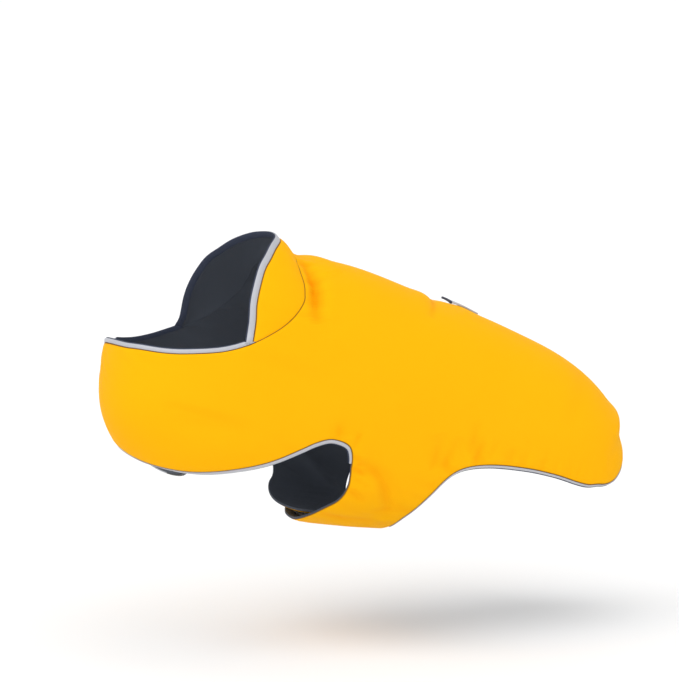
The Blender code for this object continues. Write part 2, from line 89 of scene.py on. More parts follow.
# their share of the height, length / 2 pi, and how far and over what length / 2 pi they wander
RIPPLE_WAVES = ((1.0, 1.9, 2.0, 23.0), (0.7, 3.3, 1.5, 31.0))
RIPPLE_SWELL = 41.0   # length / 2 pi over which they grow and fade
RIPPLE_SHIFT = 7.0    # so that the collar's two edges don't wave alike
TAPE_START = 0.2      # from the middle of the cloth's cut edge to the tape
WEDGE = 0.34          # how fast the neck piping widens from the collar's corner
WEDGE_START = 0.4     # its width there
WRINKLE_SHADE = 1.2   # how strongly a wrinkle's slope deepens its painted shade
RIPPLE_SHADE = 0.16   # how strongly a small wave's trough deepens its painted shade
SEAM_ROLL = 0.5       # share of the turned edge at the collar's seam, which lies flatter
COLLAR_GAP = 0.15     # between panel and collar
SEAM_FADE = 0.2       # how much less painted seam shadow the cloth takes beside that seam

# ---- the body under the cloth: a row per section, fanned from neck to rump ----
# spine_x, spine_z, belly_x, belly_z, half_width
SECTIONS = (
    (-46.0, 34.0, -138.0, 10.0, 40.0),
    (-33.0, 9.0, -149.0, -32.0, 46.0),
    (-10.0, 3.2, -154.0, -62.0, 51.0),
    (20.0, -4.6, -151.5, -94.0, 57.5),
    (46.0, -14.8, -129.0, -124.0, 62.0),
    (74.0, -26.0, -88.0, -143.0, 64.0),
    (102.0, -36.5, -40.0, -157.0, 64.0),
    (129.0, -48.5, 8.0, -166.0, 63.5),
    (154.5, -61.2, 50.0, -170.0, 63.0),
    (175.5, -76.0, 82.0, -172.0, 62.5),
    (190.0, -92.0, 100.0, -176.0, 61.5),
    (198.0, -110.0, 108.0, -182.0, 60.0),
    (199.0, -133.0, 112.0, -190.0, 58.0),
    (212.0, -158.0, 116.0, -200.0, 56.0),
)
COLLAR_SECTION = 1    # the section where `along` is 0
SQUARE = 0.05         # how square a section's shoulders are
HEAVY = 0.06          # how much wider a section is low down
PAST_BELLY = 1.7 * math.pi    # how far round a section the laps may reach
GIRTH_POINTS = 121    # round a section, to measure along it

# ---- near half of the outline ----
# neck seam, middle of the back to the collar's corner, with the collar's free edge above it
# along, round, rim_x, rim_y, rim_z
NECK = (
    (-3.5, 0.0, -42.0, 0.0, 19.0),
    (-2.5, 14.0, -44.0, -12.0, 18.5),
    (1.5, 25.0, -47.5, -20.5, 17.0),
    (9.5, 39.0, -55.0, -29.5, 13.0),
    (18.5, 52.0, -61.5, -36.0, 7.5),
    (25.0, 62.0, -67.0, -40.5, 2.5),
    (30.0, 70.0, -70.5, -43.5, -3.0),
    (34.0, 80.0, -74.0, -46.5, -10.0),
    (37.0, 90.5, -77.0, -49.0, -18.5),
    (38.5, 101.0, -78.5, -51.0, -27.0),
    (38.5, 109.5, -80.0, -52.0, -34.0),
    (38.0, 117.0, -81.5, -53.5, -38.5),
    (37.5, 120.0, -82.0, -54.0, -40.0),
)
# along, round: free neck edge from the collar's corner towards the chest
NECK_FRONT = ((36.0, 126.5), (32.0, 135.5), (22.0, 147.0), (12.0, 160.0), (9.0, 173.0))
# along, past the chest's centre line: the near flap on top, the far flap under it
CHEST_TOP = ((8.0, 0.0), (9.0, 15.0), (12.5, 29.0), (19.0, 38.0), (30.0, 45.0), (44.0, 47.0),
             (54.0, 39.0), (61.5, 27.0), (66.5, 13.0), (69.0, 0.0))
CHEST_UNDER = ((8.0, 0.0), (12.0, 22.0), (20.0, 28.0), (38.0, 32.0), (58.0, 33.0), (74.0, 33.0),
               (83.0, 31.0), (88.0, 26.0), (89.0, 19.0), (86.0, 9.0), (78.5, -1.0))
# along, round: chest hem from the centre line to the armhole, round it, down the belly band
CHEST_HEM = ((72.0, 256.0), (78.0, 243.0), (84.5, 231.0), (92.5, 214.0), (100.0, 195.5),
             (104.5, 177.0), (106.5, 169.0), (110.0, 162.5), (115.0, 160.5), (120.0, 161.0),
             (125.0, 165.5))
BAND_FRONT = ((130.0, 173.0), (138.5, 187.0), (142.0, 199.0), (142.0, 208.0), (143.5, 226.0),
              (145.5, 240.0))
# along, past the belly's centre line: the near tongue on top, the far tongue under it
BELLY_TOP = ((148.0, 0.0), (150.0, 20.0), (153.0, 36.0), (158.5, 45.5), (168.0, 49.0),
             (178.0, 45.5), (183.5, 36.0), (185.5, 20.0), (186.0, 0.0))
BELLY_UNDER = ((148.5, 0.0), (151.0, 12.0), (157.0, 21.0), (167.0, 24.0), (177.0, 21.0),
               (183.5, 12.0), (185.5, 0.0))
BAND_REAR = ((185.0, 223.0), (182.5, 212.0), (177.5, 194.0), (175.5, 180.0), (174.0, 164.0),
             (173.5, 151.0), (175.5, 142.5))
REAR_HEM = ((180.0, 136.5), (190.0, 129.5), (211.0, 120.5), (228.0, 114.0), (248.0, 105.0),
            (260.0, 96.5), (268.0, 87.0), (274.0, 79.5), (278.5, 72.0), (281.5, 64.0),
            (282.5, 55.0), (282.0, 30.0), (282.0, 0.0))

# ---- folds, near half; the far half repeats them shifted by FAR_SHIFT ----
# start_along, start_round, middle_along, middle_round, end_along, end_round, width, height
FOLDS = (
    (7.0, 24.0, 25.0, 52.0, 48.0, 84.0, 5.4, -3.7),      # valley behind the collar
    (3.5, 21.0, 17.5, 46.0, 32.0, 66.0, 2.8, 1.2),       # ridge between it and the seam
    (106.0, 0.0, 103.0, 14.0, 101.0, 46.0, 5.0, -1.4),   # crease across the back
    (96.0, 0.0, 93.0, 16.0, 92.0, 40.0, 6.0, 0.6),       # its raised front side
    (129.5, 166.5, 156.0, 168.0, 172.0, 197.0, 5.5, -2.4),  # crease over the belly band
    (139.0, 181.0, 150.0, 182.0, 160.0, 200.0, 6.0, 1.0),   # the band's swell before it
    (151.0, 127.0, 162.0, 136.0, 171.5, 144.5, 4.0, -1.5),  # puckers above the rear hem
    (161.0, 124.0, 170.0, 131.0, 176.0, 138.5, 3.5, -1.2),
    (171.0, 118.0, 178.0, 124.0, 184.0, 131.0, 3.5, -0.9),
    (270.0, 0.0, 266.0, 40.0, 261.0, 76.0, 7.5, -2.6),      # dent round the rump
    (256.0, 0.0, 256.0, 34.0, 254.0, 58.0, 6.5, 2.2),       # swell before it
    (127.0, 0.0, 127.0, 14.0, 126.0, 36.0, 9.0, 1.1),       # swell under the tab
    (17.0, 0.0, 19.0, 16.0, 30.0, 34.0, 8.5, 2.0),          # swell over the withers
    (28.0, 30.0, 52.0, 62.0, 62.0, 96.0, 9.0, -1.0),        # soft drag off the shoulder
    (56.0, 206.0, 68.0, 192.0, 84.0, 182.0, 8.0, -0.9),     # soft drag across the chest
)
FAR_SHIFT = 3.0       # so that the two halves aren't exact twins
FOLD_POINTS = 25      # along a fold
FOLD_REACH = 3.0      # in widths, beyond which a fold has no effect
FOLD_FADE = 0.6       # how bluntly a fold ends

# ---- wrinkles too fine for the solids, near half; the far half repeats them ----
# start_along, start_round, middle_along, middle_round, end_along, end_round, width, height
WRINKLES = (
    (5.0, 22.0, 25.5, 50.0, 52.0, 91.0, 3.2, -2.3),         # sharp bottom of the valley
    (5.0, 29.0, 14.0, 43.0, 27.0, 63.0, 1.5, 0.5),          # small roll beside the collar seam
    (104.0, 6.0, 100.0, 16.0, 100.5, 46.0, 2.0, -0.9),      # sharp bottom of the back's crease
    (130.0, 166.0, 151.0, 168.0, 168.0, 194.0, 2.6, -0.8),  # sharp bottom of the belly's crease
    (136.0, 170.0, 150.0, 176.0, 161.0, 193.0, 3.2, 0.5),
    (180.0, 136.0, 178.0, 130.0, 176.0, 118.0, 2.0, -0.45),  # gathers at the rear hem
    (188.0, 131.0, 185.0, 124.0, 181.0, 112.0, 2.2, -0.35),
    (174.0, 133.0, 171.0, 124.0, 164.0, 106.0, 2.4, -0.4),
    (168.0, 146.0, 167.0, 141.0, 162.0, 126.0, 2.0, -0.45),
    (163.0, 154.0, 162.0, 147.0, 155.0, 133.0, 2.0, -0.4),
    (199.0, 126.0, 196.0, 119.0, 194.0, 112.0, 2.4, -0.4),
    (122.0, 161.0, 121.0, 155.0, 117.0, 148.0, 1.7, -0.6),  # gathers round the armhole
    (112.0, 160.0, 110.0, 154.0, 105.0, 149.0, 1.9, -0.4),
    (125.0, 165.0, 129.0, 166.0, 134.0, 170.0, 1.6, -0.6),
    (130.0, 172.0, 134.0, 174.0, 140.0, 174.0, 1.6, -0.6),
    (134.0, 179.0, 139.0, 180.0, 146.0, 178.0, 1.6, -0.5),
    (138.0, 187.0, 144.0, 189.0, 151.0, 190.0, 2.0, -0.4),
    (147.0, 214.0, 157.0, 210.0, 168.0, 202.0, 3.0, -0.6),  # soft waves across the band
    (150.0, 224.0, 162.0, 221.0, 176.0, 214.0, 3.4, 0.5),
    (172.0, 187.0, 166.0, 189.0, 158.0, 194.0, 2.4, -0.4),
    (44.0, 196.0, 60.0, 186.0, 78.0, 180.0, 4.0, -0.4),     # faint drags over the chest
    (40.0, 132.0, 60.0, 126.0, 84.0, 128.0, 6.0, -0.4),
    (210.0, 20.0, 216.0, 50.0, 214.0, 84.0, 6.0, -0.4),
)

# ---- small pieces ----
# from_along, to_along, from_past, to_past the centre line, slant (along) over its length
CHEST_LOOP = (34.0, 57.0, -16.0, 25.0, 0.0)
CHEST_HOOK = (34.0, 67.0, -8.0, 28.0, 8.0)
BELLY_LOOP = (153.0, 180.0, -14.0, 36.0, 0.0)
BELLY_HOOK = (155.0, 178.0, -12.0, 15.0, 0.0)
# tab on the middle of the back: along, half_width, lift of its middle, twist of the lift
TAB = (
    (119.5, 6.0, 1.5, 1.1),
    (123.0, 6.2, 1.3, 0.9),
    (127.5, 6.0, 0.9, 0.6),
    (132.0, 5.6, 0.7, 0.4),
    (136.0, 4.8, 0.5, 0.2),
    (139.5, 3.4, 0.4, 0.1),
    (142.0, 2.4, 0.35, 0.0),
)

# ---- where the pipings run ----
# along, round
TAPE_CORNER = (37.4, 120.2)   # of collar piping and neck piping
ARMHOLE_END = (128.5, 171.0)
BAND_END = (182.0, 210.0)     # under the belly lap
# along, past the chest's centre line, on the far flap
FAR_NECK_END = (9.0, -16.0)
FAR_HEM_END = (66.0, 33.0)
SHADED_TAIL = 45.0      # length of the far hem's piping, under the near flap, that takes painted shade
# share of the length, width that shows
NECK_WIDTHS = ((0.0, NECK_PIPE), (1.0, NECK_PIPE))
HEM_WIDTHS = ((0.0, HEM_PIPE), (1.0, HEM_PIPE))
FRONT_WIDTHS = ((0.0, NECK_PIPE), (0.48, NECK_PIPE), (0.52, 0.4), (0.65, 0.5), (0.73, HEM_PIPE),
                (0.96, HEM_PIPE), (1.0, 1.3))     # rolled under at the front of the chest
REAR_WIDTHS = ((0.0, 0.4), (0.10, 0.5), (0.15, 1.4), (0.20, 1.7), (0.32, 1.4), (0.38, 0.5),
               (0.62, 0.5), (0.68, 1.4), (0.80, 1.7), (0.85, 1.4), (0.90, 0.5), (1.0, 0.4))

# ---- colours, linear ----
SHELL = (0.91, 0.43, 0.003)
SHELL_TONES = ((0.91, 0.42, 0.002), (0.91, 0.44, 0.003))    # its faint clouds
SHELL_PAINTED_SHADE = (0.88, 0.28, 0.0)        # painted shade in wrinkles and in small waves' troughs
SHELL_SEAM_SHADOW = (0.2, 0.08, 0.01)        # painted seam shadow right at a sewn edge
SHELL_SEAM_SHADOW_WIDTH = 0.8                # mm, how far that painted shadow reaches
LINING = (0.05, 0.06, 0.08)
TAPE = (0.46, 0.47, 0.5)
TAPE_TONES = ((0.4, 0.41, 0.45), (0.51, 0.52, 0.56))        # its bead grain
UNDER_FLAP_TAPE_SHADE = 0.12                         # how bright the piping's painted-shade copy under the near flap is beside the rest
BINDING = (0.03, 0.04, 0.075)
PATCH = (0.035, 0.042, 0.05)
PAPER = (0.9, 0.9, 0.9)

# ---- weaves: scale of the wave texture, strength of the bump ----
SHELL_WEAVE = (900.0, 0.22)
LINING_WEAVE = (700.0, 0.4)
TAPE_WEAVE = (1400.0, 0.3)
BINDING_WEAVE = (1200.0, 0.4)

# ---- light ----
SKY_HORIZON, SKY_ABOVE = 1.02, 0.66   # strength of the white room
SKY_BEND = (0.2, 0.6)                 # where it turns from one to the other
KEY_AIM = (0.4, 0.35, -0.85)
KEY_STRENGTH = 1.85
KEY_SPREAD = 85.0                     # degrees across

# ---- the photo's camera ----
VIEW_ANGLE, VIEW_TILT = 27.0, 6.0     # degrees round from side on, and downwards
VIEW_DISTANCE = 1.8
VIEW_SHIFT = (0.0028125, -0.048125)   # right and up, metres
VIEW_LENS = 152.02
FLOOR_Z = -0.236
FLOOR_REACH = 6.0


# ======== the worn cloth ========

def spline(places, rows):
    """Natural cubic through rows; returns a function of place."""
    x, y = np.asarray(places, float), np.asarray(rows, float)
    n, h = len(x), np.diff(places)
    a, r = np.zeros((n, n)), np.zeros((n,) + y.shape[1:])
    a[0, 0] = a[-1, -1] = 1.0
    for i in range(1, n - 1):
        a[i, i - 1:i + 2] = h[i - 1], 2 * (h[i - 1] + h[i]), h[i]
        r[i] = 6 * ((y[i + 1] - y[i]) / h[i] - (y[i] - y[i - 1]) / h[i - 1])
    m = np.linalg.solve(a, r)

    def value(t):
        t = np.asarray(t, float)
        i = np.clip(np.searchsorted(x, t) - 1, 0, n - 2)
        g, u, v = h[i][..., None], (t - x[i])[..., None], (x[i + 1] - t)[..., None]
        return ((m[i] * v ** 3 + m[i + 1] * u ** 3) / (6 * g) + (y[i] / g - m[i] * g / 6) * v
                + (y[i + 1] / g - m[i + 1] * g / 6) * u)
    return value


def smoothstep(t):
    t = np.clip(t, 0.0, 1.0)
    return t * t * (3 - 2 * t)


def run_along(line):
    """How far along an open line each of its points lies."""
    return np.concatenate([[0.0], np.cumsum(np.linalg.norm(np.diff(line, axis=0), axis=1))])


def unit(v):
    return v / np.maximum(np.linalg.norm(v, axis=-1, keepdims=True), 1e-9)


def make_sections():
    rows = np.array(SECTIONS)
    along = run_along(rows[:, :2])
    return spline(along - along[COLLAR_SECTION], rows)


SECTION_AT = make_sections()


def ring(along, angle):
    """Point of the section at `along`; angle 0 is the spine, pi the belly, near side between."""
    r = SECTION_AT(along)
    mid, half = (r[..., 0:2] + r[..., 2:4]) / 2, (r[..., 0:2] - r[..., 2:4]) / 2
    up = np.cos(angle)
    out = (np.sin(angle) + SQUARE * np.sin(3 * angle)) / (1 - SQUARE) * r[..., 4] * (1 - HEAVY * up)
    return np.stack([mid[..., 0] + half[..., 0] * up, -out, mid[..., 1] + half[..., 1] * up], -1)


def girth_table(along, top):
    """Angles from the spine up to `top`, and how far round each section they are."""
    angle = np.linspace(0, top, GIRTH_POINTS)
    p = ring(np.repeat(along[:, None], GIRTH_POINTS, 1), np.repeat(angle[None], len(along), 0))
    steps = np.linalg.norm(np.diff(p, axis=1), axis=2)
    return angle, np.concatenate([np.zeros((len(along), 1)), np.cumsum(steps, 1)], 1)


def half_girth(along):
    along = np.atleast_1d(np.asarray(along, float))
    return girth_table(along, math.pi)[1][:, -1]


def body(along, round_):
    """Outer face of the cloth before folds, at flat places (along, round)."""
    along, round_ = np.asarray(along, float), np.asarray(round_, float)
    a, d = along.ravel(), round_.ravel()
    angle, table = girth_table(a, PAST_BELLY)
    i = np.clip((table < np.abs(d)[:, None]).sum(1) - 1, 0, len(angle) - 2)
    k = np.arange(len(a))
    part = (np.abs(d) - table[k, i]) / (table[k, i + 1] - table[k, i])
    p = ring(a, angle[i] + part * (angle[1] - angle[0]))
    p[:, 1] *= np.where(d < 0, -1.0, 1.0)
    return p.reshape(along.shape + (3,))


def body_normal(along, round_):
    e = 1.0
    da = body(along + e, round_) - body(along - e, round_)
    dd = body(along, round_ + e) - body(along, round_ - e)
    return unit(np.cross(dd, da))


def fold_lines(table):
    """Every fold of a table as (points, crosses the back, width, height)."""
    out = []
    for row in table:
        t = np.linspace(0, 1, FOLD_POINTS)[:, None]
        a, b, c = (np.array(row[k:k + 2]) for k in (0, 2, 4))
        line = (1 - t) ** 2 * a + 2 * t * (1 - t) * b + t ** 2 * c
        for side in (1, -1):
            shift = 0.0 if side > 0 or row[1] == 0 else FAR_SHIFT
            out.append((line * (1, side) + (shift, 0), row[1] == 0, row[6], row[7]))
    return out


FOLD_LINES = fold_lines(FOLDS)
WRINKLE_LINES = fold_lines(WRINKLES)


def waves(along, round_, lines):
    """Each line's height, width and wave: 1 on its middle, 0 beside it and past its ends."""
    p = np.stack([along, round_], -1)
    for line, crosses_back, width, tall in lines:
        wave = np.zeros(along.shape)
        low, high = line.min(0) - FOLD_REACH * width, line.max(0) + FOLD_REACH * width
        near = ((p > low) & (p < high)).all(-1)
        gap = np.linalg.norm(p[near][:, None, :] - line, axis=-1)
        place = gap.argmin(-1) / (len(line) - 1) if len(gap) else np.zeros(0)
        fade = np.sin(math.pi * np.clip(place, 0, 1)) ** FOLD_FADE
        if crosses_back:
            fade = np.cos(math.pi / 2 * np.clip(place, 0, 1)) ** FOLD_FADE
            fade = fade * (1 + np.sign(round_[near] * line[-1, 1])) / 2
        if len(gap):
            wave[near] = fade * np.exp(-(gap.min(-1) / width) ** 2)
        yield tall, width, wave


def relief(along, round_):
    """Height of folds above the body, less the sinking of the far flaps under the near ones."""
    height = np.zeros(along.shape)
    for tall, _, wave in waves(along, round_, FOLD_LINES + WRINKLE_LINES):
        height += tall * wave
    before = half_girth(along.ravel()).reshape(along.shape) + round_
    sunk = LAP_SINK * smoothstep((LAP_START - before) / (LAP_START - LAP_FULL))
    return height - np.where(round_ < 0, sunk, 0.0)


def painted_wrinkle_shade(along, round_):
    """How steep and how low a wrinkle's valley is, for the painted shade inside a wrinkle."""
    painted_shade = np.zeros(along.shape)
    for tall, width, wave in waves(along, round_, WRINKLE_LINES):
        painted_shade += max(-tall, 0.0) / width * wave
    return WRINKLE_SHADE * painted_shade


def cloth(along, round_, lift=0.0):
    """Outer face of the worn cloth moved out by lift, and its normal."""
    along, round_ = np.asarray(along, float), np.asarray(round_, float)
    n = body_normal(along, round_)
    return body(along, round_) + n * (relief(along, round_) + lift)[..., None], n


def far(place):
    """The same place on the far half."""
    return place[0], -place[1]


def lap_rows(rows, side):
    """Rows of (along, past the centre line) as (along, round)."""
    r = np.array(rows)
    return np.stack([r[:, 0], side * (half_girth(r[:, 0]) + r[:, 1])], 1)


def outline():
    """Closed outline of the panel, smooth through the tables, evenly spaced on the worn cloth."""
    flip = np.array([1.0, -1.0])
    neck, front = np.array(NECK)[:, :2], np.array(NECK_FRONT)
    hem, band = np.array(CHEST_HEM), np.array(BAND_FRONT)
    rear_band, rear = np.array(BAND_REAR), np.array(REAR_HEM)
    near_laps = lap_rows(CHEST_TOP, 1), lap_rows(BELLY_TOP, 1)
    far_laps = lap_rows(CHEST_UNDER, -1) * flip, lap_rows(BELLY_UNDER, -1) * flip
    near, other = (np.concatenate([neck, front, chest, hem, band, belly, rear_band, rear])
                   for chest, belly in (near_laps, far_laps))
    p = np.concatenate([near, (other * flip)[::-1][1:-1]])
    dense = []
    for k in range(len(p)):
        q = [p[(k + j) % len(p)] for j in (-1, 0, 1, 2)]
        s = np.sqrt([max(np.linalg.norm(q[j + 1] - q[j]), 1e-6) for j in range(3)])
        t0, t1, t2, t3 = 0.0, s[0], s[0] + s[1], s.sum()
        t = np.linspace(t1, t2, CURVE_STEPS + 1)[:-1, None]
        a1 = (t1 - t) / (t1 - t0) * q[0] + (t - t0) / (t1 - t0) * q[1]
        a2 = (t2 - t) / (t2 - t1) * q[1] + (t - t1) / (t2 - t1) * q[2]
        a3 = (t3 - t) / (t3 - t2) * q[2] + (t - t2) / (t3 - t2) * q[3]
        b1 = (t2 - t) / (t2 - t0) * a1 + (t - t0) / (t2 - t0) * a2
        b2 = (t3 - t) / (t3 - t1) * a2 + (t - t1) / (t3 - t1) * a3
        dense.append((t2 - t) / (t2 - t1) * b1 + (t - t1) / (t2 - t1) * b2)
    return respace(np.concatenate(dense), EDGE_SPACING)


def respace(flat, step):
    """The same closed flat line with points an even worn distance apart."""
    line = np.concatenate([flat, flat[:1]])
    run = run_along(cloth(line[:, 0], line[:, 1])[0])
    count = int(round(run[-1] / step))
    at = np.linspace(0, run[-1], count + 1)[:count]
    return np.stack([np.interp(at, run, line[:, 0]), np.interp(at, run, line[:, 1])], 1)


def nearest(points, edge):
    """Distance from each flat point to the outline, and the index of its nearest point."""
    gap, which = np.zeros(len(points)), np.zeros(len(points), int)
    for k in range(0, len(points), CHUNK):
        d = np.linalg.norm(points[k:k + CHUNK, None] - edge[None], axis=2)
        gap[k:k + CHUNK], which[k:k + CHUNK] = d.min(1), d.argmin(1)
    return gap, which


def within(points, edge):
    """Which flat points lie inside the outline."""
    x, y = points[:, 0], points[:, 1]
    inside = np.zeros(len(points), bool)
    for (x0, y0), (x1, y1) in zip(edge, np.roll(edge, -1, 0)):
        cross = (y0 > y) != (y1 > y)
        inside ^= cross & (x < (x1 - x0) * (y - y0) / (y1 - y0 + 1e-12) + x0)
    return inside


def fill(edge):
    """Points inside the outline: two lines that follow it closely, then an even grid."""
    inward = unit(np.roll(edge, -1, 0) - np.roll(edge, 1, 0))[:, ::-1] * (-1, 1)
    if not within(edge[:1] + inward[:1] * 0.5, edge)[0]:
        inward = -inward
    lines = []
    for off in EDGE_LINES:
        q = edge + inward * off
        q = q[within(q, edge)]
        lines.append(q[nearest(q, edge)[0] > LINE_KEEP * off])
    low, high = edge.min(0), edge.max(0)
    rows = []
    for j, a in enumerate(np.arange(low[0] + 1, high[0], SPACING * ROW_STEP)):
        start = low[1] + (SPACING / 2 if j % 2 else 0.0)
        rows += [(a, d) for d in np.arange(start, high[1], SPACING)]
    grid = np.array(rows)
    grid = grid[within(grid, edge)]
    return np.concatenate(lines + [grid[nearest(grid, edge)[0] > EDGE_CLEAR]])


# ======== meshes ========

def make_mesh(name, points, faces, materials, face_material=None, flat=None, sharp=None,
              values=None):
    """A smooth-shaded object from points in mm, its faces turned outward."""
    points = np.asarray(points, float) * 0.001
    mesh = bpy.data.meshes.new(name)
    mesh.from_pydata(points.tolist(), [], faces)
    mesh.update()
    if signed_volume(points, faces) < 0:
        mesh.flip_normals()
    for m in materials:
        mesh.materials.append(m)
    if face_material is not None:
        mesh.polygons.foreach_set("material_index", np.asarray(face_material, np.int32))
    mesh.polygons.foreach_set("use_smooth", np.ones(len(mesh.polygons), bool))
    if flat is not None:
        corner = np.zeros(len(mesh.loops), np.int32)
        mesh.loops.foreach_get("vertex_index", corner)
        uv = mesh.uv_layers.new(name="flat")
        uv.data.foreach_set("uv", (np.asarray(flat)[corner] * 0.001).astype(np.float32).ravel())
    for key, row in (values or {}).items():
        layer = mesh.attributes.new(key, "FLOAT", "POINT")
        layer.data.foreach_set("value", np.asarray(row, np.float32))
    if sharp is not None:
        pair = np.zeros(len(mesh.edges) * 2, np.int32)
        mesh.edges.foreach_get("vertices", pair)
        marks = np.asarray(sharp, bool)[pair.reshape(-1, 2)].all(1)
        layer = mesh.attributes.new("sharp_edge", "BOOLEAN", "EDGE")
        layer.data.foreach_set("value", marks)
    mesh.validate()
    item = bpy.data.objects.new(name, mesh)
    bpy.context.scene.collection.objects.link(item)
    return item


def signed_volume(points, faces):
    total = 0.0
    by_size = {}
    for f in faces:
        by_size.setdefault(len(f), []).append(f)
    for size, group in by_size.items():
        g = np.array(group)
        for k in range(1, size - 1):
            a, b, c = points[g[:, 0]], points[g[:, k]], points[g[:, k + 1]]
            total += float((a * np.cross(b, c)).sum())
    return total


def add_wall(name, outer, inner, faces, loop, materials, flat, values=None, dark=None):
    """A cloth wall: outer face, lining face and the turned edge between them.
    Outer faces whose points are all in the given mask take the lining's dark cloth as painted
    shade."""
    n = len(outer)
    edges = {(f[k], f[(k + 1) % len(f)]) for f in faces for k in range(len(f))}
    sides = [(a, a + n, b + n, b) for a, b in zip(loop, list(loop[1:]) + [loop[0]])]
    sides = [s if (s[0], s[3]) in edges else s[::-1] for s in sides]
    both = [tuple(f) for f in faces] + [tuple(k + n for k in f[::-1]) for f in faces]
    kind = [int(dark is not None and all(dark[k] for k in f)) for f in faces]
    kind += [1] * len(faces) + [1] * len(sides)
    rim = np.zeros(2 * n, bool)
    rim[loop] = True
    rim[np.array(loop) + n] = True
    twice = {k: np.concatenate([v, v]) for k, v in (values or {}).items()}
    return make_mesh(name, np.concatenate([outer, inner]), both + sides, materials, kind,
                     np.concatenate([flat, flat]), rim, twice)


def grid_faces(rows, cols):
    """Faces of a grid of points, and the loop of points round its rim."""
    faces = []
    for i in range(rows - 1):
        for j in range(cols - 1):
            k = i * cols + j
            faces.append((k, k + 1, k + cols + 1, k + cols))
    last = (rows - 1) * cols
    loop = list(range(cols)) + [i * cols + cols - 1 for i in range(1, rows)]
    loop += [last + j for j in range(cols - 2, -1, -1)] + [i * cols for i in range(rows - 2, 0, -1)]
    return faces, loop


def nearest_on(edge, place):
    """The side of the closed outline that comes nearest to a place, and the spot on it."""
    ahead = np.roll(edge, -1, 0) - edge
    share = np.clip(((place - edge) * ahead).sum(1) / (ahead ** 2).sum(1), 0, 1)
    spot = edge + ahead * share[:, None]
    side = int(np.linalg.norm(spot - place, axis=1).argmin())
    return side, spot[side]


def stretch(edge, start, end):
    """The part of the closed outline between the spots nearest to start and end."""
    (a, first), (b, last) = nearest_on(edge, start), nearest_on(edge, end)
    between = edge[(a + 1 + np.arange((b - a) % len(edge))) % len(edge)]
    clear = [min(np.linalg.norm(q - first), np.linalg.norm(q - last)) > STUB for q in between]
    return np.concatenate([[first], between[clear], [last]])


# profile of a piped edge: share of the width away from the cloth, height over the wall's middle
TAPE_PROFILE = ((0.0, 0.15), (0.03, 0.5), (0.14, 0.72), (0.5, 0.82), (0.86, 0.7), (0.97, 0.45),
                (1.0, 0.1), (0.97, -0.15), (0.5, -0.2), (0.03, -0.15))
# binding: 0 from the tape's inner edge or 1 from its outer edge, mm away from there, height
BINDING_PROFILE = ((0, -0.6, -0.3), (1, 0.1, -0.22), (1, 0.5, -0.3), (1, 0.6, -0.5),
                   (1, 0.45, -0.68), (0, 0.3, -0.8), (0, -0.6, -0.75))


def run_on(rings_, width, mitre):
    """Rings given a third column, how far each point moves along the edge for the mitred ends."""
    shift = np.zeros(rings_.shape[:2])
    shift[0] = -mitre[0] * (PIPE_HEEL + (1 - PIPE_HEEL) * rings_[0, :, 0] / width[0])
    shift[-1] = mitre[1] * (PIPE_HEEL + (1 - PIPE_HEEL) * rings_[-1, :, 0] / width[-1])
    return np.concatenate([rings_, shift[..., None]], -1)


def sweep(edge, away, normal, rings_):
    """Points and faces of a closed tube through one ring of (away, up, on) rows per edge point."""
    ahead = unit(np.gradient(edge, axis=0))
    points = edge[:, None] + away[:, None] * rings_[..., 0:1] + normal[:, None] * rings_[..., 1:2]
    points = points + ahead[:, None] * rings_[..., 2:3]
    count = rings_.shape[1]
    faces = []
    for i in range(len(edge) - 1):
        for k in range(count):
            a, b = i * count + k, i * count + (k + 1) % count
            faces.append((a, b, b + count, a + count))
    first = tuple(range(count - 1, -1, -1))
    last = tuple((len(edge) - 1) * count + k for k in range(count))
    return points.reshape(-1, 3), faces + [first, last]


def add_piping(name, edge, normal, side, width, mitre=(0.0, 0.0), shaded_from=None):
    """Reflective tape along a free edge, on a thin dark binding that shows past its outer side.
    mitre is how far its outer side runs on past the edge's ends, at its start and its end."""
    along = unit(np.gradient(edge, axis=0))
    away = unit(np.cross(along, normal)) * side
    up = unit(np.cross(away, along)) * side
    width = np.asarray(width, float)
    tape, bind = np.array(TAPE_PROFILE), np.array(BINDING_PROFILE)
    tubes = []
    for reach, height in ((TAPE_START + tape[:, 0] * width[:, None], tape[:, 1]),
                          (TAPE_START + bind[:, 1] + bind[:, 0] * width[:, None], bind[:, 2])):
        rings_ = np.stack([reach, np.repeat(height[None], len(edge), 0)], -1)
        tubes.append(sweep(edge, away, up, run_on(rings_, width, mitre)))
    (tape_points, tape_faces), (bind_points, bind_faces) = tubes
    run = run_along(edge)
    across = np.tile(tape[:, 0], len(edge)) * np.repeat(width, len(tape))
    flat = np.stack([np.repeat(run, len(tape)), across], 1)
    flat_bind = np.stack([np.repeat(run, len(bind)), np.tile(bind[:, 1], len(edge))], 1)
    n = len(tape_points)
    faces = tape_faces + [tuple(k + n for k in f) for f in bind_faces]
    kind = [0] * len(tape_faces) + [1] * len(bind_faces)
    skins = [MATERIALS["tape_grey"], MATERIALS["binding"]]
    # past that run the tape takes its darker copy, painted shade under the near flap
    if shaded_from is not None:
        skins.append(MATERIALS["tape_painted_shade"])
        rows = np.repeat(run[:-1] > shaded_from, len(tape)).tolist() + [True, True]
        kind[:len(tape_faces)] = [2 if dark else 0 for dark in rows]
    return make_mesh(name, np.concatenate([tape_points, bind_points]), faces, skins, kind,
                     np.concatenate([flat, flat_bind]))


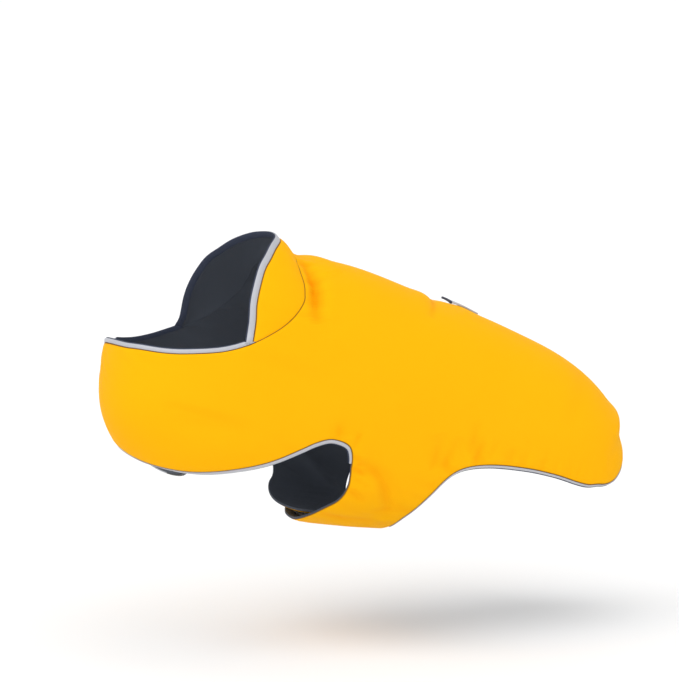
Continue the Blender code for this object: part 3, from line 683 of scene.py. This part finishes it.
def hem_piping(name, edge, start, end, widths, wedges=(False, False), shaded_tail=0.0):
    """Piping along a stretch of the outline. A wedge is narrow at its end, under the collar's
    corner; the tail length is how much of the far end lies under the near flap in painted shade."""
    flat = stretch(edge, start, end)
    p, n = cloth(flat[:, 0], flat[:, 1], -WALL / 2)
    share, size = np.array(widths).T
    width = np.interp(np.linspace(0, 1, len(p)), share, size)
    run = run_along(p)
    if wedges[0]:
        width = np.minimum(width, WEDGE_START + WEDGE * run)
    if wedges[1]:
        width = np.minimum(width, WEDGE_START + WEDGE * (run[-1] - run))
    shaded_from = run[-1] - shaded_tail if shaded_tail else None
    return add_piping(name, p, n, 1.0, width, shaded_from=shaded_from)


def add_patch(name, box, side, lift):
    """A tape patch over a lap, made from the cloth's own points moved out or in."""
    low, high, start, end, slant = box
    rows, cols = int((high - low) / PATCH_STEP) + 2, int((end - start) / PATCH_STEP) + 2
    along = np.linspace(low, high, rows)[:, None] + np.linspace(0, slant, cols)
    past = np.repeat(np.linspace(start, end, cols)[None], rows, 0)
    round_ = side * (half_girth(along.ravel()).reshape(along.shape) + past)
    top, _ = cloth(along, round_, lift + PATCH_THICK)
    low_face, _ = cloth(along, round_, lift)
    faces, loop = grid_faces(rows, cols)
    flat = np.stack([along.ravel(), past.ravel()], 1)
    m = MATERIALS["loop_tape"]
    return add_wall(name, top.reshape(-1, 3), low_face.reshape(-1, 3), faces, loop, [m, m], flat)


# ======== materials ========

def new_material(name, colour, roughness, **plain):
    m = bpy.data.materials.new(name)
    m.use_nodes = True
    shader = m.node_tree.nodes["Principled BSDF"]
    shader.inputs["Base Color"].default_value = (*colour, 1.0)
    shader.inputs["Roughness"].default_value = roughness
    for key, value in plain.items():
        shader.inputs[key.replace("_", " ")].default_value = value
    m.diffuse_color = (*colour, 1.0)
    return m, m.node_tree, shader


def add_node(tree, kind, **inputs):
    n = tree.nodes.new(kind)
    for key, value in inputs.items():
        n.inputs[key.replace("_", " ")].default_value = value
    return n


def scaled(colour, by):
    return tuple(c * by for c in colour)


def add_mix(tree, factor, a, b):
    """Blend of two colours, each a colour or a node's output."""
    n = tree.nodes.new("ShaderNodeMix")
    n.data_type = "RGBA"
    for socket, colour in (("A", a), ("B", b)):
        if isinstance(colour, tuple):
            n.inputs[socket].default_value = (*colour, 1.0)
        else:
            tree.links.new(colour, n.inputs[socket])
    tree.links.new(factor, n.inputs["Factor"])
    return n.outputs["Result"]


def mesh_value(tree, name):
    """A value that the mesh keeps at each point."""
    n = tree.nodes.new("ShaderNodeAttribute")
    n.attribute_name = name
    return n.outputs["Fac"]


def weave(tree, shader, scale, strength, clouds=None):
    """Fine over-and-under weave in the flat cut's own directions, as a bump, with soft clouds
    over it where they are given. Returns the node that gives the flat places."""
    place = tree.nodes.new("ShaderNodeUVMap")
    place.uv_map = "flat"
    heights = []
    for axis in ("X", "Y"):
        wave = add_node(tree, "ShaderNodeTexWave", Scale=scale, Distortion=0.6, Detail=1.0)
        wave.bands_direction = axis
        tree.links.new(place.outputs["UV"], wave.inputs["Vector"])
        heights.append(wave.outputs["Fac"])
    cross = tree.nodes.new("ShaderNodeMath")
    cross.operation = "MULTIPLY"
    tree.links.new(heights[0], cross.inputs[0])
    tree.links.new(heights[1], cross.inputs[1])
    bump = add_node(tree, "ShaderNodeBump", Strength=strength, Distance=0.0003)
    tree.links.new(cross.outputs[0], bump.inputs["Height"])
    if clouds is not None:
        soft = add_node(tree, "ShaderNodeBump", Strength=0.35, Distance=0.0012)
        tree.links.new(clouds, soft.inputs["Height"])
        tree.links.new(bump.outputs["Normal"], soft.inputs["Normal"])
        bump = soft
    tree.links.new(bump.outputs["Normal"], shader.inputs["Normal"])
    return place


def coated_cloth():
    """Smooth coated rain cloth: amber yellow, with painted shade in wrinkles and a painted seam
    shadow right at the sewn edges.
    """
    m, tree, shader = new_material("shell_cloth", SHELL, 0.6, Specular_IOR_Level=0.03)
    where = tree.nodes.new("ShaderNodeTexCoord")
    cloud = add_node(tree, "ShaderNodeTexNoise", Scale=22.0, Detail=3.0, Roughness=0.55)
    tree.links.new(where.outputs["Object"], cloud.inputs["Vector"])
    weave(tree, shader, *SHELL_WEAVE, cloud.outputs["Fac"])
    tone = add_mix(tree, cloud.outputs["Fac"], *SHELL_TONES)
    # painted shade: deeper orange in wrinkles and in small waves' troughs
    inside = add_mix(tree, mesh_value(tree, "painted_shade"), tone, SHELL_PAINTED_SHADE)
    # painted seam shadow: dark brown right at every sewn edge
    ramp = tree.nodes.new("ShaderNodeMapRange")
    ramp.interpolation_type = "SMOOTHSTEP"
    ramp.inputs["From Max"].default_value = SHELL_SEAM_SHADOW_WIDTH
    tree.links.new(mesh_value(tree, "hem"), ramp.inputs["Value"])
    tree.links.new(add_mix(tree, ramp.outputs["Result"], SHELL_SEAM_SHADOW, inside),
                   shader.inputs["Base Color"])
    return m


def lining_cloth():
    m, tree, shader = new_material("lining_cloth", LINING, 0.8)
    weave(tree, shader, *LINING_WEAVE)
    return m


def grey_tape(name, bright):
    """Reflective tape: grey with a fine bead grain."""
    m, tree, shader = new_material(name, scaled(TAPE, bright), 0.42, Metallic=0.15)
    place = weave(tree, shader, *TAPE_WEAVE)
    grain = add_node(tree, "ShaderNodeTexNoise", Scale=2600.0, Detail=2.0)
    tree.links.new(place.outputs["UV"], grain.inputs["Vector"])
    tone = add_mix(tree, grain.outputs["Fac"], *(scaled(c, bright) for c in TAPE_TONES))
    tree.links.new(tone, shader.inputs["Base Color"])
    return m


def dark_binding():
    m, tree, shader = new_material("dark_binding", BINDING, 0.7)
    weave(tree, shader, *BINDING_WEAVE)
    return m


def loop_tape():
    """Hook and loop tape: dense short pile."""
    m, tree, shader = new_material("loop_tape", PATCH, 0.9, Sheen_Weight=0.3)
    place = tree.nodes.new("ShaderNodeUVMap")
    place.uv_map = "flat"
    pile = add_node(tree, "ShaderNodeTexVoronoi", Scale=1100.0)
    tree.links.new(place.outputs["UV"], pile.inputs["Vector"])
    bump = add_node(tree, "ShaderNodeBump", Strength=0.8, Distance=0.0006)
    tree.links.new(pile.outputs["Distance"], bump.inputs["Height"])
    tree.links.new(bump.outputs["Normal"], shader.inputs["Normal"])
    return m


MATERIALS = {
    "shell": coated_cloth(),
    "lining": lining_cloth(),
    "tape_grey": grey_tape("reflective_tape", 1.0),
    # a darker copy of the tape: painted shade under the near flap
    "tape_painted_shade": grey_tape("tape_in_painted_shade", UNDER_FLAP_TAPE_SHADE),
    "binding": dark_binding(),
    "loop_tape": loop_tape(),
}


# ======== the pieces ========

def turned_edge(gap, share=1.0):
    """How far the cloth's face turns down close to a sewn edge."""
    return -ROLL_DEPTH * share * np.exp(-(gap / ROLL_WIDTH) ** 2)


def ripple(gap, run):
    """Small waves that the sewing gathers along an edge, none at the edge itself."""
    height = sum(share * np.sin(run / length + drift * np.sin(run / slow))
                 for share, length, drift, slow in RIPPLE_WAVES)
    strong = 0.55 + 0.45 * np.sin(run / RIPPLE_SWELL + 1.0)
    near = gap / RIPPLE_REACH * np.exp(1 - gap / RIPPLE_REACH)
    return RIPPLE * near * strong * height


def add_body(edge):
    points = np.concatenate([edge, fill(edge)])
    ring_of = [(k, (k + 1) % len(edge)) for k in range(len(edge))]
    flat, _, tris, *_ = delaunay_2d_cdt([Vector(p) for p in points], ring_of, [], 1, 1e-4)
    flat = np.array([tuple(p) for p in flat])
    gap, which = nearest(flat, edge)
    gap[:len(edge)] = 0.0
    run = run_along(edge)[which]
    outer, n = cloth(flat[:, 0], flat[:, 1])
    small = ripple(gap, run)
    outer = outer + n * small[:, None]
    inner = outer - n * WALL
    last = nearest_on(edge, COLLAR_END)[0]
    at_seam = (which <= last) | (which > len(edge) - 1 - last)
    outer = outer + n * turned_edge(gap, np.where(at_seam, SEAM_ROLL, 1.0))[:, None]
    # painted shade in wrinkles and in the small waves' troughs
    painted_shade = painted_wrinkle_shade(flat[:, 0], flat[:, 1]) - RIPPLE_SHADE * small / RIPPLE
    # painted shade on the far flap's hem under the near flap: those faces take the lining's dark
    # cloth
    before = half_girth(flat[:, 0]) + flat[:, 1]
    under_flap_shade = (before < FLAP_SHADE_START) & (gap < FLAP_SHADE_WIDTH)
    under_flap_shade &= (flat[:, 0] > FLAP_SHADE_ALONG[0]) & (flat[:, 0] < FLAP_SHADE_ALONG[1])
    # distance for the painted seam shadow, fainter beside the collar seam
    shown = gap + np.where(at_seam, SEAM_FADE, 0.0)
    return add_wall("body_cloth", outer, inner, [tuple(t) for t in tris], list(range(len(edge))),
                    [MATERIALS["shell"], MATERIALS["lining"]], flat,
                    {"hem": shown, "painted_shade": painted_shade}, under_flap_shade)


def collar_frame(edge):
    """The collar's seam line on the panel's own edge points, its free edge and the normals,
    far corner to near corner."""
    rows = np.array(NECK)
    both = np.concatenate([(rows * (1, -1, 1, -1, 1))[:0:-1], rows])
    rim = spline(both[:, 1], both[:, 2:])
    flat = stretch(edge, far(COLLAR_END), COLLAR_END)
    seam, n = cloth(flat[:, 0], flat[:, 1])
    ahead = unit(np.cross(np.gradient(seam, axis=0), n))
    if np.dot(ahead[len(ahead) // 2], (-1, 0, 0)) < 0:
        ahead = -ahead
    return seam + ahead * COLLAR_GAP, rim(flat[:, 1]), n


def add_collar(edge):
    seam, rim, n = collar_frame(edge)
    share = np.linspace(0, 1, COLLAR_ROWS)
    outer = seam[:, None] + (rim - seam)[:, None] * share[:, None]
    outward = unit(np.cross(np.gradient(seam, axis=0), rim - seam))
    if np.dot(outward[-1], (0, -1, 0)) < 0:
        outward = -outward
    outward = np.repeat(outward[:, None], COLLAR_ROWS, 1)
    tall = np.linalg.norm(rim - seam, axis=1)[:, None, None]
    bulge = 4 * (share * (1 - share))[None, :, None] * COLLAR_BULGE * smoothstep(tall / COLLAR_LOW)
    outer = outer + outward * bulge
    blend = smoothstep(share * COLLAR_STAND)[None, :, None]
    normal = unit(outward * blend + n[:, None] * (1 - blend))
    inner = outer - normal * WALL
    from_seam = share[None, :] * tall[:, :, 0]
    from_rim = tall[:, :, 0] - from_seam
    # distance for the painted seam shadow at both of the collar's edges
    gap = np.minimum(from_seam + SEAM_FADE, from_rim)
    roll = turned_edge(from_seam, SEAM_ROLL) + turned_edge(from_rim)
    run = run_along(seam)
    small = ripple(from_rim, run[:, None] + RIPPLE_SHIFT) * smoothstep(from_seam / RIPPLE_CLEAR)
    small = small + ripple(from_seam, run[:, None]) * smoothstep(from_rim / RIPPLE_CLEAR)
    shown = outer + normal * (roll + small)[..., None]
    flat = np.stack([from_seam, np.repeat(run[:, None], COLLAR_ROWS, 1)], -1).reshape(-1, 2)
    faces, loop = grid_faces(len(seam), COLLAR_ROWS)
    # the small waves' troughs take painted shade here too
    collar = add_wall("collar_cloth", shown.reshape(-1, 3), inner.reshape(-1, 3), faces, loop,
                      [MATERIALS["shell"], MATERIALS["lining"]], flat,
                      {"hem": gap.ravel(), "painted_shade": -RIPPLE_SHADE * small.ravel() / RIPPLE})
    middle_line = (outer - normal * WALL / 2)[:, -1]
    away = unit(np.cross(unit(np.gradient(middle_line, axis=0)), normal[:, -1]))
    middle = len(rim) // 2
    side = 1.0 if np.dot(away[middle], middle_line[middle] - outer[middle, 0]) > 0 else -1.0
    piping = add_piping("collar_tape", middle_line, normal[:, -1], side,
                        np.full(len(rim), COLLAR_PIPE), (PIPE_TURN, PIPE_TURN))
    return collar, piping


def add_tab():
    count, wide = TAB_POINTS
    rows = np.array(TAB)
    at = np.linspace(rows[0, 0], rows[-1, 0], count)
    fine = np.stack([np.interp(at, rows[:, 0], rows[:, k]) for k in range(4)], 1)
    across = np.linspace(-1, 1, wide)
    along = np.repeat(fine[:, :1], wide, 1)
    round_ = fine[:, 1:2] * across
    lift = fine[:, 2:3] - fine[:, 3:4] * across
    low, _ = cloth(along, round_, lift)
    high, _ = cloth(along, round_, lift + TAB_THICK)
    faces, loop = grid_faces(count, wide)
    flat = np.stack([along.ravel(), round_.ravel()], 1)
    grey, dark = MATERIALS["tape_grey"], MATERIALS["binding"]
    tab = add_wall("tab_tape", high.reshape(-1, 3), low.reshape(-1, 3), faces, loop,
                   [grey, grey], flat)
    edge = (low[0] + high[0]) / 2
    normal = unit(high[0] - low[0])
    middle = wide // 2
    forward = unit(low[0, middle] - low[1, middle])
    side = 1.0 if np.dot(np.cross(edge[-1] - edge[0], normal[middle]), forward) > 0 else -1.0
    away = unit(np.cross(unit(np.gradient(edge, axis=0)), normal)) * side
    half, cut = TAB_EDGE_THICK / 2, TAB_EDGE - TAB_ROUND
    ring_of = np.array([(TAB_LIP_START, half, 0), (cut, half, 0), (TAB_EDGE, TAB_ROUND, 0),
                        (TAB_EDGE, -TAB_ROUND, 0), (cut, -half, 0), (TAB_LIP_START, -half, 0)])
    points, faces = sweep(edge, away, normal, np.repeat(ring_of[None], wide, 0))
    flat = np.repeat(np.arange(wide)[:, None], 2 * len(ring_of), 1).reshape(-1, 2)
    return tab, make_mesh("tab_binding", points, faces, [dark], flat=flat)


def put(piece, slot, *nodes):
    """Piece on the body, in the place of the solids' nodes."""
    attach(piece, "root")
    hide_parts(*nodes)
    return piece


def build():
    edge = outline()
    panel = put(add_body(edge), "shell", "body_panel")
    collar, collar_tape = add_collar(edge)
    put(collar, "shell", "collar")
    put(collar_tape, "piping", "collar_piping")
    neck_end, hem_end = lap_rows([FAR_NECK_END, FAR_HEM_END], -1)
    for name, node, *how in (
            ("front_tape_near", "front_piping_near", TAPE_CORNER, ARMHOLE_END, FRONT_WIDTHS,
             (True, False)),
            ("neck_tape_far", "neck_piping_far", neck_end, far(TAPE_CORNER), NECK_WIDTHS,
             (False, True)),
            ("hem_tape_far", "hem_piping_far", far(ARMHOLE_END), hem_end, HEM_WIDTHS,
             (False, False), SHADED_TAIL),
            ("rear_tape", "rear_piping", BAND_END, far(BAND_END), REAR_WIDTHS)):
        put(hem_piping(name, edge, *how), "piping", node)
    under = -WALL - PATCH_GAP - PATCH_THICK
    for name, box, side, lift, node in (
            ("chest_loop_tape", CHEST_LOOP, 1, under, "chest_loop"),
            ("chest_hook_tape", CHEST_HOOK, -1, PATCH_GAP, "chest_hook"),
            ("belly_loop_tape", BELLY_LOOP, 1, under, "belly_loop"),
            ("belly_hook_tape", BELLY_HOOK, -1, PATCH_GAP, "belly_hook")):
        put(add_patch(name, box, side, lift), "tape", node)
    tab, lip = add_tab()
    put(tab, "piping", "back_tab")
    put(lip, "tape", "tab_edge")


# ======== stage, light, camera ========

def add_stage():
    m, tree, shader = new_material("floor_paper", PAPER, 0.9)
    grain = add_node(tree, "ShaderNodeTexNoise", Scale=300.0, Detail=2.0)
    bump = add_node(tree, "ShaderNodeBump", Strength=0.05, Distance=0.0005)
    tree.links.new(grain.outputs["Fac"], bump.inputs["Height"])
    tree.links.new(bump.outputs["Normal"], shader.inputs["Normal"])
    mesh = bpy.data.meshes.new("floor")
    corners = [(x * FLOOR_REACH, y * FLOOR_REACH, FLOOR_Z)
               for x, y in ((-1, -1), (1, -1), (1, 1), (-1, 1))]
    mesh.from_pydata(corners, [], [(0, 1, 2, 3)])
    mesh.materials.append(m)
    floor = bpy.data.objects.new("floor", mesh)
    bpy.context.scene.collection.objects.link(floor)


def add_key():
    """One broad soft light from a long way off, so it lights floor and coat evenly."""
    light = bpy.data.lights.new("key", "SUN")
    light.energy = KEY_STRENGTH
    light.angle = math.radians(KEY_SPREAD)
    item = bpy.data.objects.new("key", light)
    item.rotation_mode = "QUATERNION"
    item.rotation_quaternion = Vector(KEY_AIM).to_track_quat("-Z", "Y")
    bpy.context.scene.collection.objects.link(item)


def add_world():
    """White studio all round, dimmer overhead and underfoot."""
    world = bpy.data.worlds.new("studio")
    world.use_nodes = True
    tree = world.node_tree
    back = tree.nodes["Background"]
    where = tree.nodes.new("ShaderNodeTexCoord")
    parts = tree.nodes.new("ShaderNodeSeparateXYZ")
    tree.links.new(where.outputs["Generated"], parts.inputs["Vector"])
    size = tree.nodes.new("ShaderNodeMath")
    size.operation = "ABSOLUTE"
    tree.links.new(parts.outputs["Z"], size.inputs[0])
    fade = tree.nodes.new("ShaderNodeMapRange")
    fade.interpolation_type = "SMOOTHSTEP"
    for socket, value in (("From Min", SKY_BEND[0]), ("From Max", SKY_BEND[1]),
                          ("To Min", SKY_HORIZON), ("To Max", SKY_ABOVE)):
        fade.inputs[socket].default_value = value
    tree.links.new(size.outputs[0], fade.inputs["Value"])
    tree.links.new(fade.outputs["Result"], back.inputs["Strength"])
    back.inputs["Color"].default_value = (1.0, 1.0, 1.0, 1.0)
    bpy.context.scene.world = world


def add_camera():
    turn, tilt = math.radians(VIEW_ANGLE), math.radians(VIEW_TILT)
    right = Vector((math.cos(turn), -math.sin(turn), 0.0))
    level = Vector((math.sin(turn), math.cos(turn), 0.0))
    look = level * math.cos(tilt) - Vector((0.0, 0.0, math.sin(tilt)))
    up = right.cross(look)
    place = right * VIEW_SHIFT[0] + up * VIEW_SHIFT[1] - look * VIEW_DISTANCE
    data = bpy.data.cameras.new("camera")
    data.sensor_width = 36.0
    data.lens = VIEW_LENS
    data.clip_start, data.clip_end = 0.1, 50.0
    camera = bpy.data.objects.new("camera", data)
    turned = Matrix((right, up, -look)).transposed().to_4x4()
    camera.matrix_world = Matrix.Translation(place) @ turned
    bpy.context.scene.collection.objects.link(camera)
    bpy.context.scene.camera = camera


build()
add_stage()
bpy.context.scene.view_settings.view_transform = "Standard"
add_world()
add_key()
add_camera()
